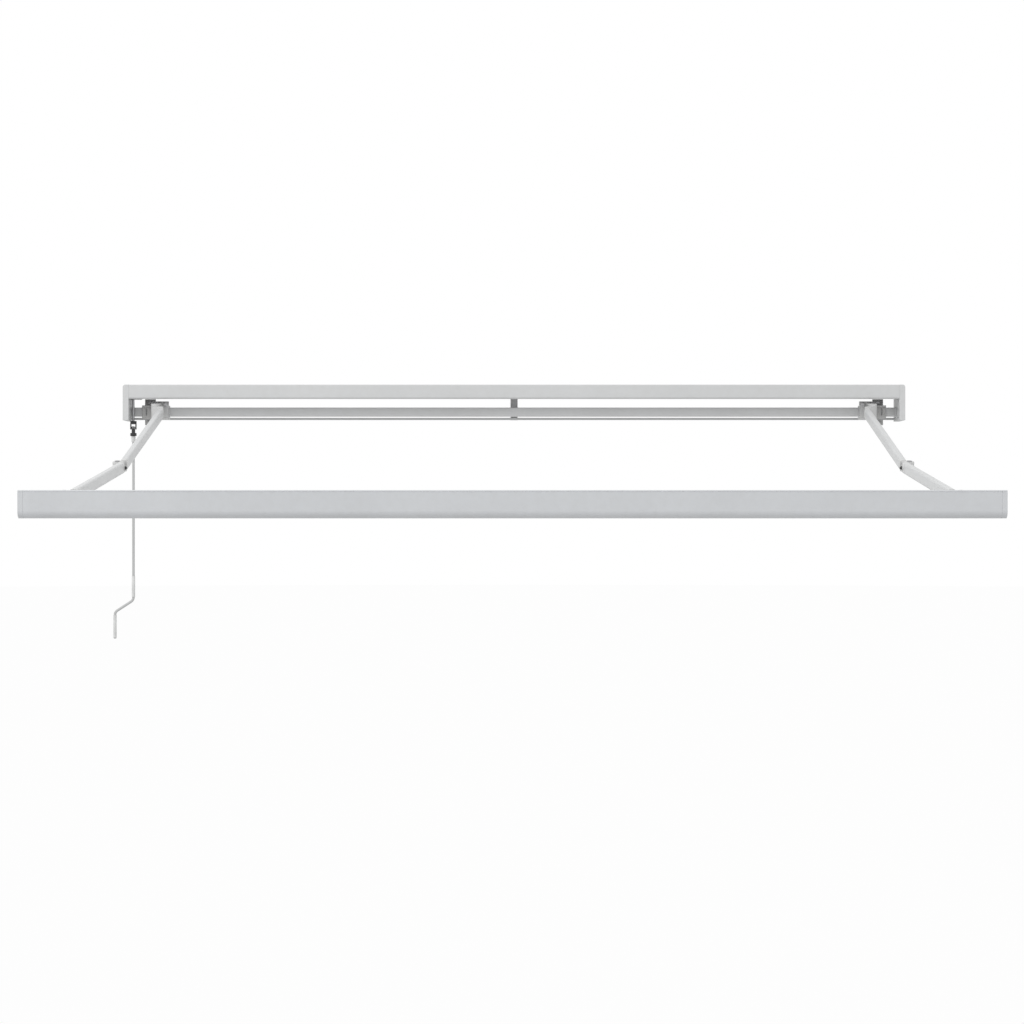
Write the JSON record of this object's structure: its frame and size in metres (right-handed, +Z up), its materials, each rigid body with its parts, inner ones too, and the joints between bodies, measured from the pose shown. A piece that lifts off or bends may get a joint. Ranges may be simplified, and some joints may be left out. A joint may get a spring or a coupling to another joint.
{
  "type": "folding-arm awning frame",
  "caption": "Wall-mounted folding-arm awning frame: hood and roller, torsion bar, two folding arms, front bar, and a hanging crank. No canvas.",
  "frame": {"origin": "on the wall plane, at the centre of the middle wall bracket's back face, level with the torsion bar's centre", "axes": "+X to the right seen from outside, +Y into the wall (the awning reaches out along -Y), +Z up"},
  "size_m": [3.5528, 2.5, 1.139],
  "materials": {
    "coat": "white powder coat on aluminium extrusion",
    "casting": "light grey powder coat on die casting",
    "steel": "plain steel",
    "zinc": "zinc plated",
    "black": "black moulded plastic",
    "brass": "machined",
    "grip": "light grey moulded plastic"
  },
  "bodies": {
    "chassis": {"torsion_bar": "coat", "hood": "coat", "rear_rail": "coat", "hood_support": "casting", "gear_case": "casting", "wall_bracket_middle": "casting", "hood_end_left": "coat", "hood_end_right": "coat", "wall_bracket_left": "casting", "wall_bracket_right": "casting", "bracket_clamp_left": "casting", "bracket_clamp_right": "casting", "wall_bolt_upper_left": "zinc", "wall_bolt_upper_right": "zinc", "wall_bolt_lower_left": "zinc", "wall_bolt_lower_right": "zinc", "shoulder_bracket_left": "casting", "shoulder_bracket_right": "casting", "shoulder_pin_left": "steel", "shoulder_pin_right": "steel", "tilt_screw_left": "zinc", "tilt_screw_right": "zinc"},
    "upper_arm_left": {"shoulder_knuckle_left": "casting", "upper_arm_tube_left": "coat", "elbow_fork_left": "casting", "elbow_pin_left": "steel"},
    "forearm_left": {"elbow_tongue_left": "casting", "elbow_cap_left": "black", "forearm_tube_left": "coat", "front_knuckle_left": "casting", "arm_spring_left": "steel"},
    "front_beam": {"front_bar": "coat", "front_bar_cap_left": "coat", "front_bar_cap_right": "coat", "front_bracket_left": "casting", "front_bracket_right": "casting", "front_pin_left": "steel", "front_pin_right": "steel"},
    "upper_arm_right": {"shoulder_knuckle_right": "casting", "upper_arm_tube_right": "coat", "elbow_fork_right": "casting", "elbow_pin_right": "steel"},
    "forearm_right": {"elbow_tongue_right": "casting", "elbow_cap_right": "black", "forearm_tube_right": "coat", "front_knuckle_right": "casting", "arm_spring_right": "steel"},
    "roller": {"roller_tube": "zinc", "roller_plug_left": "black", "roller_plug_right": "black", "worm_wheel": "brass"},
    "drive_shaft": {"worm_shaft": "steel", "u_joint_yoke_top": "black"},
    "joint_cross": {"u_joint_cross": "steel"},
    "crank": {"u_joint_yoke_bottom": "black", "crank_ferrule": "casting", "crank_rod": "coat"},
    "upper_grip": {"grip_upper": "grip"},
    "lower_grip": {"grip_lower": "grip"}
  },
  "joints": [
    {"name": "left_shoulder", "type": "hinge", "parent": "chassis", "child": "upper_arm_left", "pos_m": [-1.606, -0.165, -0.003], "axis": [0, -0.1736, 0.9848], "range_deg": [0, 86]},
    {"name": "left_elbow", "type": "hinge", "parent": "upper_arm_left", "child": "forearm_left", "pos_m": [-1.598, -1.26247, -0.26963], "axis": [0, -0.1736, 0.9848], "range_deg": [-172, 0]},
    {"name": "left_front", "type": "hinge", "parent": "forearm_left", "child": "front_beam", "pos_m": [-1.606, -2.38495, -0.39444], "axis": [0, -0.1736, 0.9848], "range_deg": [0, 86]},
    {"name": "right_shoulder", "type": "hinge", "parent": "chassis", "child": "upper_arm_right", "pos_m": [1.606, -0.165, -0.003], "axis": [0, -0.1736, 0.9848], "range_deg": [-86, 0]},
    {"name": "right_elbow", "type": "hinge", "parent": "upper_arm_right", "child": "forearm_right", "pos_m": [1.598, -1.26247, -0.26963], "axis": [0, -0.1736, 0.9848], "range_deg": [0, 172]},
    {"name": "roller_spin", "type": "hinge", "parent": "chassis", "child": "roller", "pos_m": [0, -0.09, 0.0865], "axis": [1, 0, 0], "continuous": true},
    {"name": "drive_spin", "type": "hinge", "parent": "chassis", "child": "drive_shaft", "pos_m": [-1.712, -0.12, -0.073], "axis": [0, 0, 1], "continuous": true},
    {"name": "crank_swing_forward", "type": "hinge", "parent": "drive_shaft", "child": "joint_cross", "pos_m": [-1.712, -0.12, -0.073], "axis": [1, 0, 0], "range_deg": [-45, 45]},
    {"name": "crank_swing_sideways", "type": "hinge", "parent": "joint_cross", "child": "crank", "pos_m": [-1.712, -0.12, -0.073], "axis": [0, 1, 0], "range_deg": [-45, 45]},
    {"name": "upper_grip_spin", "type": "hinge", "parent": "crank", "child": "upper_grip", "pos_m": [-1.712, -0.12, -0.786], "axis": [0, 0, 1], "continuous": true},
    {"name": "lower_grip_spin", "type": "hinge", "parent": "crank", "child": "lower_grip", "pos_m": [-1.795, -0.12, -0.9655], "axis": [0, 0, 1], "continuous": true}
  ],
  "couplings": [
    {"joint": "left_elbow", "follows": "left_shoulder", "ratio": -2},
    {"joint": "left_front", "follows": "left_shoulder", "ratio": 1},
    {"joint": "right_shoulder", "follows": "left_shoulder", "ratio": -1},
    {"joint": "right_elbow", "follows": "left_shoulder", "ratio": 2},
    {"joint": "drive_spin", "follows": "roller_spin", "ratio": 11}
  ]
}
